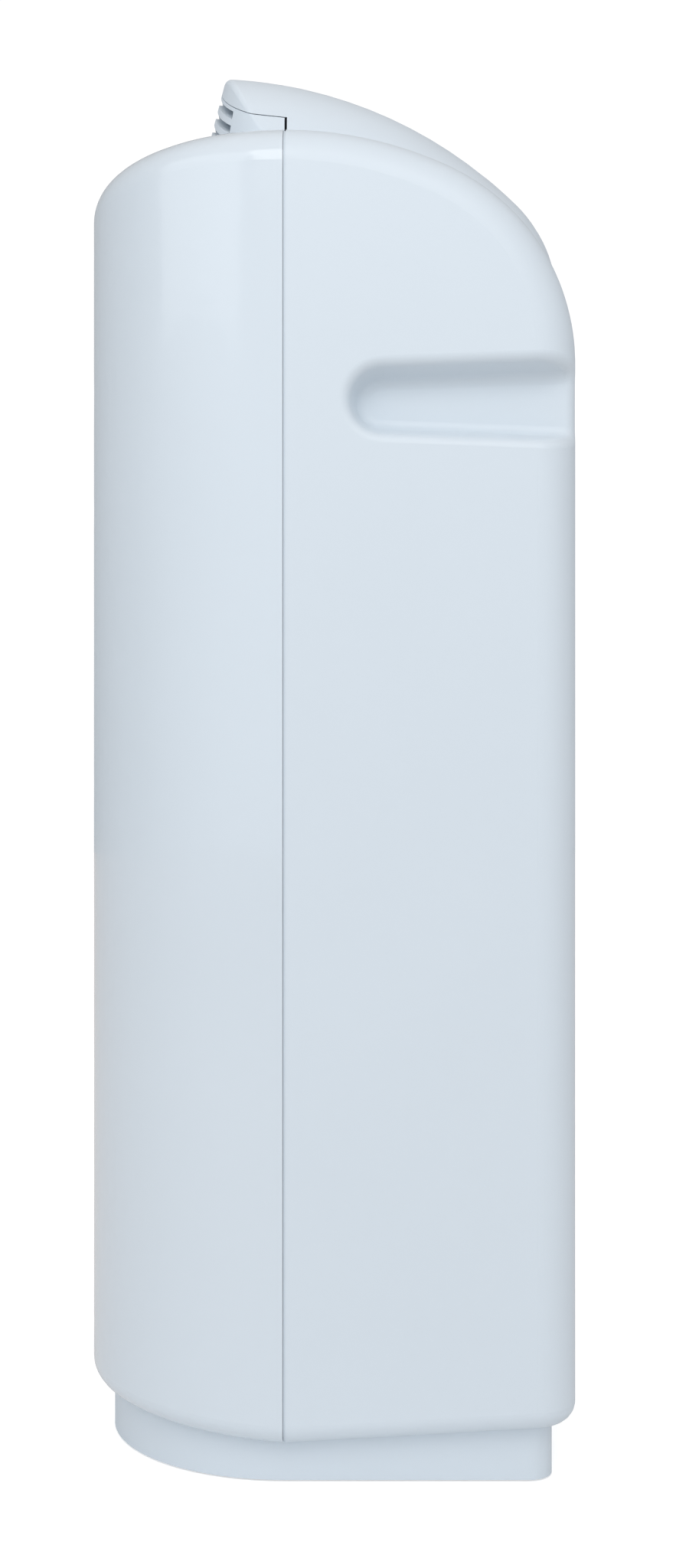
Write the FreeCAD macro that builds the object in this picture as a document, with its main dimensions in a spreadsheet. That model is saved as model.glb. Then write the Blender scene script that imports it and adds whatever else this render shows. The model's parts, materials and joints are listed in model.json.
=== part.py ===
import FreeCAD, Part
import math
import os
import re

import Sketcher
from FreeCAD import Rotation, Vector

# Tower air purifier. Millimetres, +Z up, the front faces -Y, the origin is under the middle of the body.

SIZES = {
    # outer body
    "body_width": (204, "across the flat flanks"),
    "body_depth": (244, "front skin to rear skin"),
    "seam_y": (-19, "parting plane between front cover and rear housing"),
    "seam_gap": (1.2, "shadow gap along the parting plane"),
    "skin": (2.6, "moulded wall"),
    "shoulder_z": (653, "top of the shoulders, at the parting plane"),
    "brow_drop": (5, "how far the roof falls from the parting plane to the front"),
    "roof_radius": (190, "roof behind the parting plane"),
    "back_radius": (105, "bend from the roof into the back"),
    "keel_z": (20, "lowest line of the body, at the parting plane"),
    "keel_rise": (8, "how far the body's underside climbs to front and back"),
    "shoulder_round": (20, "rounding of roof and flank edges"),
    "keel_round": (10, "rounding of the underside's edges"),
    "play": (0.4, "clearance between neighbouring mouldings"),
    "screw_radius": (2, "screws, thread"),
    "screw_head": (3.8, "screws, head radius"),
    "head_high": (2.4, "screws, height of the head"),
    "thread_play": (0.05, "screws in their bosses"),
    "screw_x": (38, "plinth screws, from the middle"),
    "screw_y": (66, "plinth screws, in front of and behind the middle"),
    "boss_radius": (5, "screw bosses inside the body"),
    "boss_high": (10, "bosses above the top of the underside"),
    # spine on the roof
    "spine_width": (150, "width of the raised spine"),
    "spine_round": (60, "rounding of the spine's long edges"),
    "crown_y": (-59.2, "where the spine's top line is level"),
    "crown_z": (700.5, "top of the spine"),
    "crown_radius": (227, "spine's top line"),
    "tail_angle": (44.7, "where the tail bend begins, degrees from vertical"),
    "tail_radius": (69.5, "bend of the spine's tail"),
    "nose_reach": (36.3, "nose ahead of its root, at the crown"),
    "nose_y": (-17, "where the nose's bow meets its straight sides"),
    "nose_lean": (0.27, "forward lean of the nose per millimetre down"),
    "nose_round": (3, "rounding of the nose's upper edge"),
    "visor_z": (698.5, "top of the joint between cap and outlet grille"),
    "visor_radius": (60, "rounded ridge of that joint and of the blades"),
    "visor_slope": (29, "their fall to the sides, degrees"),
    "visor_dip": (6.5, "the visor's fall towards the back, in degrees"),
    "first_gap": (2.2, "from the joint down to the first gap"),
    # outlet grille
    "blade_pitch": (7.2, "from one blade to the next"),
    "slot_high": (3.9, "gap between blades"),
    "slot_wide": (114, "length of the gaps across the nose"),
    "slot_rows": (5, "gaps, one below the other"),
    "blade_deep": (15, "front to back depth of a blade"),
    "outlet_wide": (118, "opening under the grille"),
    # handle pockets
    "pocket_z": (519, "middle of the hand pockets"),
    "pocket_y": (11, "front end of the pockets"),
    "pocket_high": (34, "height at the front end"),
    "pocket_flare": (4, "extra height above and below at the back"),
    "pocket_deep": (15, "depth of the pockets"),
    "pocket_draft": (6, "slope of the pocket walls"),
    "pocket_round": (5.5, "rounding of the pocket rims"),
    # plinth
    "plinth_inset": (11, "plinth set in from the body"),
    "plinth_floor": (1, "height of the plinth's rim above the ground"),
    "plinth_corner": (12, "plan corner at the back"),
    "plinth_top": (4, "plinth's top plate, at the parting plane"),
    "foot_radius": (9, "rubber foot"),
    "foot_high": (4, "rubber foot"),
    "foot_x": (60, "feet, from the middle"),
    "foot_y": (62, "feet, in front of and behind the middle"),
    "gland_z": (13, "cord gland height"),
    "cord_radius": (3.75, "cord hole of the gland"),
    "gland_radius": (6.9, "gland body"),
    "gland_long": (18, "gland body"),
    # rear door, filter bay
    "door_width": (149, "rear door"),
    "door_low": (150, "lower edge of the rear door"),
    "door_high": (470, "upper edge of the rear door"),
    "door_thick": (3, "rear door"),
    "vent_rows": (28, "rows of slots in the door"),
    "vent_border": (9, "door edge to the first and last slots"),
    "vent_x": (34, "middle of a slot, from the door's middle"),
    "vent_high": (5, "height of a slot"),
    "vent_wide": (59, "width of a slot"),
    "plate_y": (14, "front face of the inner frame's plate"),
    "plate_thick": (3, "inner frame"),
    "tower_half": (80, "half width of the plate's upper part"),
    "bay_wall": (2, "wall of the filter bay"),
    "filter_y": (60, "front face of the filter cartridge"),
    "filter_deep": (42, "filter cartridge, front to back"),
    "filter_play": (0.7, "filter cartridge in its bay"),
    "case_wall": (2.5, "filter cartridge's case"),
    "foam_thick": (6, "prefilter"),
    "medium_thick": (0.8, "filter medium"),
    "pleats": (22, "folds of the filter medium"),
    # fan
    "fan_z": (400, "height of the fan's axis"),
    "scroll_radius": (84, "fan housing"),
    "scroll_front": (-50, "front face of the fan housing"),
    "scroll_wall": (2.4, "fan housing"),
    "duct_half": (58, "half width of the duct above the fan"),
    "duct_rise": (152, "duct's mouth above the fan housing"),
    "ear_reach": (62, "fan housing screws, across and along from the fan's axis"),
    "wheel_radius": (72, "fan wheel"),
    "inlet_radius": (52, "fan inlet"),
    "wheel_blades": (28, "blades of the fan wheel"),
    "blade_chord": (16, "radial length of a fan blade"),
    "hub_long": (20, "hub of the fan wheel"),
    "shaft_radius": (4, "motor shaft"),
    "motor_radius": (34, "motor can"),
    "motor_long": (40, "motor can"),
    "motor_reach": (27, "motor screws, across and along from the fan axis"),
    "can_wall": (2, "motor can"),
    "core_long": (18, "stator and rotor"),
    "rotor_radius": (18, "rotor"),
    "shaft_reach": (32, "motor shaft beyond the can"),
    "shaft_play": (0.05, "shaft in its bearings"),
    "bearing_long": (5, "bearing"),
    "bearing_radius": (8, "outer radius of a bearing"),
    # lamp
    "lamp_radius": (7.5, "ultraviolet lamp"),
    "lamp_gap": (2, "below the fan's inlet"),
    "cap_long": (8, "lamp cap"),
    "holder_thick": (6, "lamp holder"),
    "lamp_long": (152, "lamp between its caps"),
    "lamp_y": (38, "lamp axis"),
    # controls
    "panel_width": (72, "control panel"),
    "panel_start": (12.8, "upper end, degrees from vertical"),
    "panel_end": (39.2, "lower end, degrees from vertical"),
    "panel_sink": (0.8, "panel surface below the spine"),
    "panel_thick": (2.6, "control panel"),
    "button_radius": (6, "push button"),
    "button_travel": (1.2, "push button"),
    "button_play": (0.25, "push button in its hole"),
    "button_sink": (0.3, "top of a button below the spine"),
    "button_step": (5, "degrees from one button to the next"),
    "led_radius": (1.2, "indicator"),
    "led_gap": (4, "button edge to indicator"),
    "flange_wide": (3, "lip of the panel under the housing"),
    "stem_depth": (8, "lower end of a button's stem below the spine"),
    "board_depth": (16, "circuit board below the spine"),
    "board_arc": (84, "circuit board, along the crown"),
    "board_thick": (1.6, "circuit boards"),
    "post_radius": (2.5, "posts between panel and circuit board"),
    # power supply
    "supply_half": (50, "half width of the supply board"),
    "standoff": (6, "supply board above the plate"),
    # lap joint behind the parting line
    "lip_sink": (0.7, "rear shell's lip in the parting line, below the surface"),
    "lap_reach": (4, "rear shell's tongue reaches this far in under the cover"),
    "lap_thick": (1.4, "thickness of the tongue"),
    "lap_play": (0.2, "tongue to the cover's inside"),
    # inner fits
    "collar_wide": (2, "cord gland's collar and nut beyond its thread"),
    "collar_thick": (2, "thickness of the cord gland's collar"),
    "nut_thick": (3, "thickness of the cord gland's nut"),
    "wing_low": (32.6, "underside of the mounting plate"),
    "wing_drop": (40, "mounting plate's wings end this far under the pockets' middle"),
    "duct_over": (30, "duct's outlet above the mounting plate"),
    "bay_step": (2, "filter bay inside the door's edges"),
    "ledge_wide": (8, "ledge the filter rests on"),
    "filter_gap": (2, "filter's case behind the ledge, and its pleats inside the case"),
    "ear_wall": (2, "wall of a scroll ear around its screw's head"),
    "ear_long": (10, "length of a scroll ear"),
    "lug_wall": (1.5, "wall of a motor lug around its screw's head"),
    "lug_thick": (3, "thickness of a motor lug"),
    "seat_wall": (3, "wall around a bearing"),
    "wheel_gap": (6, "fan wheel to the scroll's front, and to the mounting plate less its rim"),
    "wheel_plate": (2, "thickness of the wheel's back plate and rim"),
    "wheel_blade": (1.2, "thickness of a wheel blade"),
    "hub_wall": (6, "hub's wall around the shaft"),
    "glass_wall": (1, "wall of the lamp's tube"),
    "holder_rim": (1.5, "lamp holder beyond the lamp"),
    "supply_lift": (22, "supply board above the underside"),
    "supply_drop": (20, "supply board below the door"),
    "post_inset": (5, "posts in from a board's edges"),
    "supply_edge": (12, "transformer in from the board's edges"),
    "coil_wide": (34, "width of the transformer"),
    "coil_long": (38, "height of the transformer"),
    "coil_high": (26, "transformer off its board"),
    "relay_wide": (16, "width of the relay"),
    "relay_long": (24, "height of the relay"),
    "relay_high": (14, "relay off its board"),
    "can_x": (36, "place of the large capacitor, twice that of the small one"),
    "can_a_radius": (8, "radius of the large capacitor"),
    "can_a_long": (24, "length of the large capacitor"),
    "can_a_rise": (24, "large capacitor above the board's lower edge"),
    "can_b_radius": (6, "radius of the small capacitor"),
    "can_b_long": (18, "length of the small capacitor"),
    "can_b_rise": (58, "small capacitor above the board's lower edge"),
    "window_arc": (12, "display window along the spine, in degrees"),
    "window_edge": (5, "display window in from the panel's edge and the buttons"),
    "board_inset": (3, "control board in from the panel's edges"),
    "led_play": (1.5, "indicator's foot under the panel"),
    "led_proud": (0.1, "indicator above the panel's face"),
    "stem_radius": (1.5, "radius of a button's stem"),
    "switch_wide": (6, "width of a switch"),
    "collar_lip": (1.2, "thickness and width of a button's collar"),
}

doc = FreeCAD.newDocument("tower_air_purifier")
sheet = doc.addObject("Spreadsheet::Sheet", "sizes")
for row, (alias, (amount, meaning)) in enumerate(SIZES.items(), start=1):
    sheet.set(f"A{row}", meaning)
    sheet.set(f"B{row}", str(amount))
    sheet.setAlias(f"B{row}", alias)
doc.recompute()

FAR = 400.0  # reaches past every part
NAME = re.compile(r"[a-z][a-z_]+")
nodes = []


def size(alias):
    """A driving dimension as the sheet holds it."""
    return float(sheet.get(alias))


def formula(text):
    """An expression over the sheet: each size's name is written as sizes.name."""
    return NAME.sub(lambda m: "sizes." + m.group() if m.group() in SIZES else m.group(), str(text))


def bind(item, **formulas):
    """Binds properties such as Radius or Height to the sheet."""
    for name, text in formulas.items():
        item.setExpression(name, formula(text))
    return item


def place(item, x=0, y=0, z=0, turn=None):
    """Puts an object at bound coordinates, turned first if turn is given."""
    if turn is not None:
        item.Placement = FreeCAD.Placement(Vector(), turn)
    for axis, text in (("x", x), ("y", y), ("z", z)):
        item.setExpression(f"Placement.Base.{axis}", formula(text))
    return item


def node(item, label):
    """Marks an object as a sub-part. Its label names its file."""
    item.Label = label
    nodes.append(item)
    return item


ALONG_Y = Rotation(Vector(1, 0, 0), -90)


def box(name, x, y, z):
    """A box between bound limits: each of x, y and z is (low, high)."""
    item = doc.addObject("Part::Box", name)
    bind(item, Length=f"({x[1]}) - ({x[0]})", Width=f"({y[1]}) - ({y[0]})", Height=f"({z[1]}) - ({z[0]})")
    return place(item, x[0], y[0], z[0])


def rod(name, radius, length, x=0, y=0, z=0, turn=None):
    """A cylinder from a bound point, along +Z unless it is turned."""
    item = bind(doc.addObject("Part::Cylinder", name), Radius=radius, Height=length)
    return place(item, x, y, z, turn)


def fuse(name, *parts):
    item = doc.addObject("Part::MultiFuse", name)
    item.Shapes = list(parts)
    item.Refine = True
    return item


def cut(name, base, *tools):
    """The base less its tools."""
    for n, tool in enumerate(tools):
        item = doc.addObject("Part::Cut", name if n == len(tools) - 1 else f"{name}_{n}")
        item.Base, item.Tool = base, tool
        base = item
    return base


def group(name, parts):
    """Separate, identical solids that share one node."""
    item = doc.addObject("Part::Compound", name)
    item.Links = list(parts)
    return item


def feature(label, shape):
    """A free-form moulding, worked out from the sheet's sizes."""
    item = doc.addObject("Part::Feature", label)
    item.Shape = shape
    return node(item, label)


# ---------------------------------------------------------------- outer form


def arc(centre, radius, start, end):
    """An arc in the YZ plane. Angles are in radians from +Y towards +Z."""
    points = [
        Vector(0, centre[0] + radius * math.cos(a), centre[1] + radius * math.sin(a))
        for a in (start, (start + end) / 2, end)
    ]
    return Part.Arc(*points).toShape()


def chain(*points):
    """Straight edges through points (y, z)."""
    corners = [Vector(0, *p) for p in points]
    return [Part.makeLine(a, b) for a, b in zip(corners, corners[1:])]


def slab(edges, half):
    """A closed side outline, as wide as half to each side."""
    face = Part.Face(Part.Wire(Part.__sortEdges__(edges)))
    face.translate(Vector(-half, 0, 0))
    return face.extrude(Vector(2 * half, 0, 0))


def underside(y, lift=0.0):
    """Height of the body's underside, which climbs both ways from the parting plane."""
    reach = size("body_depth") / 2 - size("seam_y") * math.copysign(1, y - size("seam_y"))
    return size("keel_z") + size("keel_rise") * abs(y - size("seam_y")) / reach + lift


def d_plan(inset, corner, low, high):
    """The body's plan: half an ellipse at the front and a box behind, between two heights."""
    half = size("body_width") / 2 - inset
    seam, rear = size("seam_y"), size("body_depth") / 2 - inset
    reach = size("body_depth") / 2 + seam - inset
    centre = Vector(0, seam, low)
    side, front = Vector(half, seam, low), Vector(0, seam - reach, low)
    ellipse = Part.Ellipse(front, side, centre) if reach > half else Part.Ellipse(side, front, centre)
    bow = Part.Face(Part.Wire(ellipse.toShape())).extrude(Vector(0, 0, high - low))
    stern = Part.makeBox(2 * half, rear - seam, high - low, Vector(-half, seam, low))
    if corner:
        upright = [e for e in stern.Edges if e.BoundBox.ZLength > 1 and e.CenterOfMass.y > rear - 1]
        stern = stern.makeFillet(corner, upright)
    return bow.fuse(stern).removeSplitter()


def body_form(inset=0.0):
    """The body's outer form, moved inwards by inset."""
    half = size("body_width") / 2 - inset
    front, rear, seam = -size("body_depth") / 2 + inset, size("body_depth") / 2 - inset, size("seam_y")
    top = size("shoulder_z") - inset
    roof, back = size("roof_radius") - inset, size("back_radius") - inset
    roof_at = (seam, top - roof)
    back_y = rear - back
    back_at = (back_y, roof_at[1] + math.sqrt((roof - back) ** 2 - (back_y - seam) ** 2))
    bend = math.atan2(back_at[1] - roof_at[1], back_at[0] - roof_at[0])
    reach, drop = seam - front, size("brow_drop")
    brow = (reach**2 + drop**2) / (2 * drop)
    brow_end = math.pi / 2 + math.asin(reach / brow)
    edges = [
        arc((seam, top - brow), brow, brow_end, math.pi / 2),
        arc(roof_at, roof, math.pi / 2, bend),
        arc(back_at, back, bend, 0),
    ]
    keel = [(rear, back_at[1]), (rear, underside(rear, inset)), (seam, underside(seam, inset))]
    edges += chain(*keel, (front, underside(front, inset)), (front, top - drop))
    form = slab(edges, half).common(d_plan(inset, 0, 0, size("shoulder_z"))).removeSplitter()

    def long_edge(e):
        middle = e.CenterOfMass
        on_flank = e.BoundBox.XLength < 0.01 and abs(abs(middle.x) - half) < 0.01
        return on_flank and (middle.z > back_at[1] or middle.y > rear - 1)

    def brow_edge(e):
        return e.CenterOfMass.y < seam and e.BoundBox.XLength > 1 and e.BoundBox.ZMin > top - 2 * drop - 1

    def keel_edge(e):
        flat = e.BoundBox.ZMax < size("keel_z") + size("keel_rise") + inset + 1
        middle = e.CenterOfMass
        return flat and not (e.BoundBox.XLength > half and e.BoundBox.YLength < 0.01 and middle.y < rear - 1)

    seam_line = [e for e in form.Edges if brow_edge(e) and e.BoundBox.YLength > 1]
    upper = [e for e in form.Edges if long_edge(e)] + seam_line
    form = form.makeFillet(size("shoulder_round") - inset, upper)
    lower = [e for e in form.Edges if keel_edge(e)]
    return form.makeFillet(size("keel_round") - inset, lower)


def cone_nose(inset, low, high):
    """What lies behind the spine's leaning front: half an ellipse in plan, with straight sides behind it."""
    half, root = size("spine_width") / 2 - inset, size("nose_y")
    sections = []
    for z in (low, high):
        reach = size("nose_reach") - inset + size("nose_lean") * (size("crown_z") - z)
        side, front = Vector(half, root, z), Vector(0, root - reach, z)
        centre = Vector(0, root, z)
        ellipse = Part.Ellipse(side, front, centre) if half > reach else Part.Ellipse(front, side, centre)
        start, middle = ellipse.parameter(side), ellipse.parameter(front)
        turn = math.copysign(math.pi, math.sin(middle - start))
        first, last = sorted((start, start + turn))
        bow = ellipse.toShape(first, last)
        ends = [v.Point for v in bow.Vertexes]
        stern = [ends[1], Vector(ends[1].x, root + FAR, z), Vector(ends[0].x, root + FAR, z), ends[0]]
        sections.append(Part.Wire([bow, *Part.makePolygon(stern).Edges]))
    return Part.makeLoft(sections, True, True)


def spine_form(inset=0.0):
    """The raised spine: its top line bends down into a tail at the back."""
    half = size("spine_width") / 2 - inset
    crown, tail = size("crown_radius") - inset, size("tail_radius") - inset
    crown_at = (size("crown_y"), size("crown_z") - size("crown_radius"))
    turn = math.pi / 2 - math.radians(size("tail_angle"))
    shift = size("crown_radius") - size("tail_radius")
    tail_at = (crown_at[0] + shift * math.cos(turn), crown_at[1] + shift * math.sin(turn))
    floor_z = size("shoulder_z") - size("back_radius")
    front = crown_at[0] - 2 * size("nose_round")
    start = math.pi - math.acos((crown_at[0] - front) / crown)
    edges = [arc(crown_at, crown, start, turn), arc(tail_at, tail, turn, 0)]
    rear_end = (tail_at[0] + tail, tail_at[1])
    edges += chain(rear_end, (tail_at[0], tail_at[1]), (tail_at[0], floor_z), (front, floor_z))
    top = (front, crown_at[1] + crown * math.sin(start))
    edges += chain((front, floor_z), top)
    form = slab(edges, half)
    sides = [e for e in form.Edges if e.BoundBox.XLength < 0.01 and type(e.Curve).__name__ == "Circle"]
    form = form.makeFillet(size("spine_round") - inset, sides)
    form = form.common(cone_nose(inset, floor_z - 1, size("crown_z") + size("nose_round")))
    return form.removeSplitter()


def round_nose(form):
    """Rounds the arched edge between the spine's crown and its nose."""
    behind = size("seam_y") + size("spine_round") / 2

    def arched(e):
        bounds = e.BoundBox
        return bounds.YMax < behind and bounds.ZMax > size("visor_z") and bounds.XLength > size("nose_round")

    return form.makeFillet(size("nose_round"), [e for e in form.Edges if arched(e)])


def ridge(drop, low_y, high_y):
    """A bar along Y under the cap, with a rounded ridge: what lies above it belongs to the cap."""
    radius, slope = size("visor_radius"), math.radians(size("visor_slope"))
    top, reach = size("visor_z") - drop, size("body_width") / 2
    knee_x, knee_z = radius * math.sin(slope), top - radius * (1 - math.cos(slope))
    foot_z = knee_z - (reach - knee_x) * math.tan(slope)
    floor_z = size("shoulder_z") - size("spine_round")
    right = [Vector(x, low_y, z) for x, z in ((knee_x, knee_z), (reach, foot_z), (reach, floor_z))]
    left = [Vector(-p.x, p.y, p.z) for p in reversed(right)]
    arch = Part.Arc(left[-1], Vector(0, low_y, top), right[0]).toShape()
    outline = Part.Wire([arch, *Part.makePolygon([*right, *left]).Edges])
    bar = Part.Face(outline).extrude(Vector(0, high_y - low_y, 0))
    bar.rotate(Vector(0, size("nose_y") - size("nose_reach"), top), Vector(1, 0, 0), -size("visor_dip"))
    return bar


def ridge_reach(fall):
    """How far from the middle a ridge has fallen by an amount."""
    radius, slope = size("visor_radius"), math.radians(size("visor_slope"))
    knee = radius * (1 - math.cos(slope))
    if fall > knee:
        return radius * math.sin(slope) + (fall - knee) / math.tan(slope)
    return math.sqrt(radius**2 - (radius - fall) ** 2)


def half_space(low_y, high_y, low_z=-FAR):
    """Everything between two places along Y, from a height upwards."""
    return Part.makeBox(2 * FAR, high_y - low_y, 2 * FAR - low_z, Vector(-FAR, low_y, low_z))


# ---------------------------------------------------------------- shells

seam, gap, skin, play = size("seam_y"), size("seam_gap"), size("skin"), size("play")
half_width, half_depth = size("body_width") / 2, size("body_depth") / 2
body_outer, body_inner = body_form(), body_form(skin)
spine_outer, spine_inner = round_nose(spine_form()), spine_form(skin)
shell = body_outer.fuse(spine_outer).cut(body_inner.fuse(spine_inner))
fore = half_space(-FAR, seam - gap / 2)
aft = half_space(seam + gap / 2, FAR)


def upright(radius, x, y, low, high):
    """A cylinder along +Z between two heights."""
    return Part.makeCylinder(radius, high - low, Vector(x, y, low))


def all_of(shapes):
    """One shape from many that don't overlap."""
    first, *others = shapes
    return first.fuse(others) if others else first


def pocket_outline(grow):
    """Side outline of a hand pocket, a U that opens and widens to the back."""
    middle, start = size("pocket_z"), size("pocket_y")
    radius = size("pocket_high") / 2 + grow
    centre = start + size("pocket_high") / 2
    end = half_depth + 2 * size("pocket_draft")
    spread = radius + size("pocket_flare")
    nose = arc((centre, middle), radius, math.pi / 2, 3 * math.pi / 2)
    low, high = (end, middle - spread), (end, middle + spread)
    sides = chain((centre, middle - radius), low, high, (centre, middle + radius))
    return Part.Wire(Part.__sortEdges__([nose, *sides]))


def pocket_form(grow=0.0):
    """A hand pocket's hollow on the +X flank, with sloping walls, moved outwards by grow."""
    deep, draft = size("pocket_deep"), size("pocket_draft")
    bottom = half_width - deep - grow
    floor, rim = pocket_outline(grow - draft), pocket_outline(grow)
    floor.translate(Vector(bottom, 0, 0))
    rim.translate(Vector(half_width, 0, 0))
    hollow = Part.makeLoft([floor, rim], True, True)
    bed = [e for e in hollow.Edges if e.BoundBox.XMax < bottom + 0.01 and e.BoundBox.YMin < half_depth]
    return hollow.makeFillet(draft + grow, bed)


def both_flanks(shape):
    return shape.fuse(shape.mirror(Vector(), Vector(1, 0, 0)))


def crown_slice(outer, inner, x, start, end):
    """A plate that follows the spine: two depths, limits across, and angles from vertical."""
    centre = Vector(x[0], size("crown_y"), size("crown_z") - size("crown_radius"))
    across = Vector(1, 0, 0)
    pie = Part.makeCylinder(size("crown_radius") + size("skin"), x[1] - x[0], centre, across, end - start)
    pie.rotate(centre, across, -end)
    solid = spine_form(outer) if outer >= 0 else spine_form().fuse(pie)
    return solid.cut(spine_form(inner)).common(pie)


# bosses over the plinth's screws
boss_top = size("keel_z") + size("keel_rise") + size("boss_high")
screw_places = [(x * size("screw_x"), y * size("screw_y")) for x in (-1, 1) for y in (-1, 1)]
bosses = all_of([upright(size("boss_radius"), x, y, 0, boss_top) for x, y in screw_places]).common(body_outer)
hole_radius = size("screw_radius") + size("thread_play")
screw_holes = all_of([upright(hole_radius, x, y, 0, boss_top - skin) for x, y in screw_places])

# front cover, open under the outlet grille
well_half = size("outlet_wide") / 2
well_front = size("nose_y") - size("nose_reach") + size("blade_deep") / 2
well_low = size("shoulder_z") - size("shoulder_round")
well_corner = Vector(-well_half, well_front, well_low)
well = Part.makeBox(2 * well_half, seam - well_front, size("shoulder_round") + 1, well_corner)
cover = body_outer.cut(body_inner).fuse(bosses).common(fore).cut(well).cut(screw_holes)
feature("front_cover", cover)

# rear housing: back of the shell, the cap over the grille, the hand pockets, and holes for door and panel
cap = spine_outer.cut(spine_inner).common(half_space(-FAR, seam + gap, size("shoulder_z") + play))
cap = cap.cut(ridge(0, -FAR, FAR))
liner = both_flanks(pocket_form(skin)).common(body_outer)
door_corner = Vector(-size("door_width") / 2 - play, half_depth - 4 * skin, size("door_low") - play)
door_tall = size("door_high") - size("door_low") + 2 * play
door_hole = Part.makeBox(size("door_width") + 2 * play, FAR, door_tall, door_corner)
panel_half = size("panel_width") / 2
panel_spare = math.degrees(play / size("crown_radius"))
panel_hole = crown_slice(-1, 4 * skin, (-panel_half - play, panel_half + play),
                         size("panel_start") - panel_spare, size("panel_end") + panel_spare)
lap_inner = body_form(skin + size("lap_play") + size("lap_thick"))
lap_face = seam + gap / 2
tongue = body_form(skin + size("lap_play")).cut(lap_inner).common(half_space(seam - size("lap_reach"), lap_face))
root = body_form(skin / 2).cut(lap_inner).common(half_space(lap_face, lap_face + size("lap_reach")))
lip = body_form(size("lip_sink")).cut(lap_inner).common(half_space(seam - gap / 2 + size("lap_play"), lap_face))
lap = [piece.common(half_space(-FAR, FAR).cut(spine_inner)) for piece in (root, tongue, lip)]
lap = [piece.cut(spine_outer) for piece in lap]
rear = shell.common(aft).fuse([cap, liner, bosses.common(aft), *lap]).removeSplitter()
rear = rear.cut(both_flanks(pocket_form()))


def pocket_rim(e):
    """The pocket's edge in the flank, without its end at the back."""
    bounds = e.BoundBox
    reach = size("pocket_high") / 2 + size("pocket_flare") + play
    level = abs(e.CenterOfMass.z - size("pocket_z")) < reach and bounds.ZLength < 2 * reach
    on_flank = bounds.XLength < play and abs(abs(e.CenterOfMass.x) - half_width) < play
    return level and on_flank and bounds.YMax < half_depth


rims = [e for e in rear.Edges if pocket_rim(e)]
rear = rear.makeFillet(size("pocket_round"), rims)
rear = rear.cut(door_hole).cut(panel_hole).cut(screw_holes)
feature("rear_housing", rear)

# outlet grille: a frame flush with the spine, and arched blades behind the nose
zone = spine_outer.common(half_space(-FAR, seam - gap / 2, well_low)).common(ridge(play, -FAR, FAR))
blade_half = (size("slot_wide") + size("outlet_wide")) / 4
blade_span = Part.makeBox(2 * blade_half, FAR + seam, 2 * FAR, Vector(-blade_half, -FAR, well_low))
clear_half = size("spine_width") / 2 - 4 * skin
clear_span = Part.makeBox(2 * clear_half, FAR + seam, 2 * FAR, Vector(-clear_half, -FAR, well_low))
nose_back = cone_nose(size("blade_deep"), well_low - 1, size("crown_z") + skin)
rim = zone.cut(spine_inner).cut(nose_back.common(clear_span))
grille = rim.fuse(zone.cut(nose_back).common(blade_span)).cut(body_outer)
for n in range(int(size("slot_rows"))):
    drop = size("first_gap") + n * size("blade_pitch")
    fall = size("visor_z") - drop - 2 * size("slot_high") - size("shoulder_z")
    half = min(size("slot_wide") / 2, ridge_reach(fall))
    gap_form = ridge(drop, -FAR, FAR).cut(ridge(drop + size("slot_high"), -FAR, FAR))
    span = Part.makeBox(2 * half, FAR + seam - gap - skin, FAR, Vector(-half, -FAR, well_low))
    grille = grille.cut(gap_form.common(span))
feature("outlet_grille", grille)
# ---------------------------------------------------------------- base


def below_body(clear):
    """What lies lower than the body's underside, less a clearance."""
    ends = [(-half_depth, underside(-half_depth, -clear)), (seam, underside(seam, -clear))]
    ends += [(half_depth, underside(half_depth, -clear)), (half_depth, 0), (-half_depth, 0)]
    return slab(chain(*ends, ends[0]), half_width)


inset, corner, rim = size("plinth_inset"), size("plinth_corner"), size("plinth_floor")
feet = [(x * size("foot_x"), y * size("foot_y")) for x in (-1, 1) for y in (-1, 1)]
ceiling = size("keel_z") - size("plinth_top")
hollow = d_plan(inset + skin, corner - skin, 0, ceiling)
post_radius = size("foot_radius") + skin
posts = all_of([upright(post_radius, x, y, size("foot_high"), ceiling) for x, y in feet])
outer = d_plan(inset, corner, rim, boss_top)
gland_hole = Part.makeCylinder(size("gland_radius") + size("thread_play"), 4 * skin,
                               Vector(0, half_depth - inset - 3 * skin, size("gland_z")), Vector(0, 1, 0))
nut_radius = size("gland_radius") + size("collar_wide")
nut_room = Part.makeBox(2 * nut_radius + 2, size("gland_long") + 2, size("gland_z") + nut_radius + 1,
                        Vector(-nut_radius - 1, half_depth - inset - skin - size("gland_long") - 2, 0))
plinth = outer.cut(hollow).cut(nut_room).fuse(posts.common(outer)).common(below_body(0))
plinth = plinth.cut(gland_hole).cut(screw_holes)
feature("base_plinth", plinth)

node(group("feet_set", [
    rod(f"foot_{n}", "foot_radius", "foot_high", f"{x} * foot_x", f"{y} * foot_y")
    for n, (x, y) in enumerate([(-1, -1), (-1, 1), (1, -1), (1, 1)])
]), "rubber_feet")


def pan_screw(name, x, y, seat, length, along_z=True):
    """A pan-head screw that points up, or to the front: seat is the plane its head bears on."""
    if along_z:
        head = rod(f"{name}_head", "screw_head", "head_high", x, y, f"{seat} - head_high")
        shank = rod(f"{name}_shank", "screw_radius", length, x, y, seat)
    else:
        head = rod(f"{name}_head", "screw_head", "head_high", x, seat, y, ALONG_Y)
        shank = rod(f"{name}_shank", "screw_radius", length, x, f"{seat} - {length}", y, ALONG_Y)
    return fuse(name, head, shank)


CORNERS = [(-1, -1), (-1, 1), (1, -1), (1, 1)]
node(group("base_screw_set", [
    pan_screw(f"base_screw_{n}", f"{x} * screw_x", f"{y} * screw_y", "keel_z - plinth_top",
              "plinth_top + keel_rise + boss_high - 2 * skin")
    for n, (x, y) in enumerate(CORNERS)
]), "base_screws")



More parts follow.
